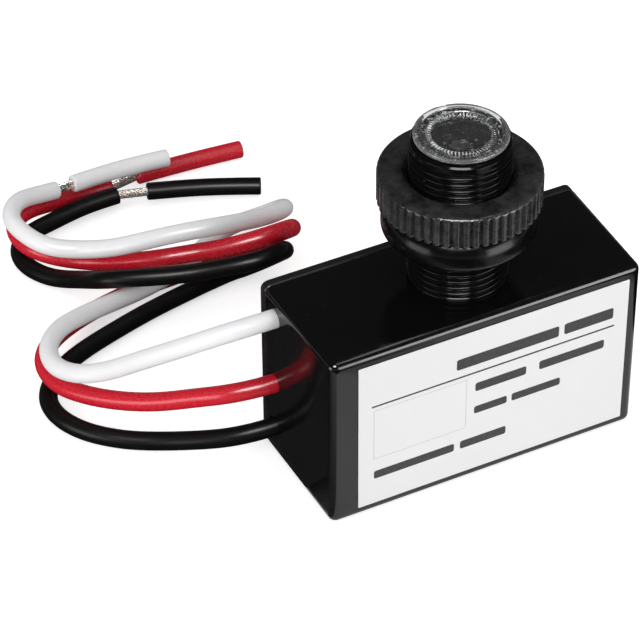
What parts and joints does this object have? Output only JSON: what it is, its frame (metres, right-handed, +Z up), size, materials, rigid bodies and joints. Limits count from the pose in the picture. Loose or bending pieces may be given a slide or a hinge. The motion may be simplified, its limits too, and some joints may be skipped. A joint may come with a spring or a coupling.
{
  "type": "photocell switch",
  "caption": "Black boxed photocell switch with a threaded neck, clear lens, ring nut and rubber gasket, and insulated leads with stripped ends.",
  "frame": {"origin": "middle of the box's bottom face", "axes": "+Z up the threaded neck, +X along the box away from the leads, -Y out of the labelled face"},
  "size_m": [0.0798, 0.0905, 0.0555],
  "materials": {
    "case_black": "glossy moulded black",
    "cover_black": "satin moulded black",
    "lens_clear": "clear moulded plastic",
    "sleeve_grey": "matte grey",
    "sensor_face": "clear-coated ceramic with a zigzag track",
    "sensor_wire": "tinned wire",
    "gasket_rubber": "satin black rubber",
    "nut_black": "matte moulded nylon",
    "label_white": "satin white film",
    "board_green": "solder-masked laminate",
    "relay_blue": "moulded blue",
    "film_red": "dipped resin",
    "can_black": "shrink sleeve",
    "varistor_blue": "dipped resin",
    "epoxy_black": "moulded epoxy",
    "resistor_tan": "lacquered ceramic",
    "diode_glass": "tinted glass",
    "insulation_white": "satin extruded insulation",
    "insulation_red": "satin extruded insulation",
    "insulation_black": "satin extruded insulation",
    "tinned_copper": "tinned stranded copper"
  },
  "bodies": {
    "body": {"case": "case_black", "back_cover": "cover_black", "lens": "lens_clear", "sensor_sleeve": "sleeve_grey", "light_sensor": "sensor_face", "sensor_lead_a": "sensor_wire", "sensor_lead_b": "sensor_wire", "label": "label_white", "circuit_board": "board_green", "relay": "relay_blue", "film_capacitor": "film_red", "electrolytic_capacitor": "can_black", "varistor": "varistor_blue", "rectifier_diode_1": "epoxy_black", "rectifier_diode_2": "epoxy_black", "rectifier_diode_3": "epoxy_black", "rectifier_diode_4": "epoxy_black", "dropper_resistor": "resistor_tan", "sense_resistor": "resistor_tan", "delay_resistor": "resistor_tan", "zener_diode": "diode_glass", "transistor": "epoxy_black", "lead_white": "insulation_white", "white_strands": "tinned_copper", "white_slug": "insulation_white", "lead_red": "insulation_red", "red_strands": "tinned_copper", "red_slug": "insulation_red", "lead_black": "insulation_black", "black_strands": "tinned_copper", "black_slug": "insulation_black"},
    "washer": {"gasket": "gasket_rubber"},
    "nut": {"lock_nut": "nut_black"}
  },
  "joints": [
    {"name": "nut_travel", "type": "slide", "parent": "body", "child": "washer", "axis": [0, 0, 1], "range_m": [-0.0078, 0.005]},
    {"name": "nut_turn", "type": "hinge", "parent": "washer", "child": "nut", "pos_m": [0.0009, 0.0003, 0.0464], "axis": [0, 0, 1], "range_deg": [-2580, 1655]}
  ],
  "couplings": [
    {"joint": "nut_turn", "follows": "nut_travel", "rad_per_m": 5764.4}
  ]
}
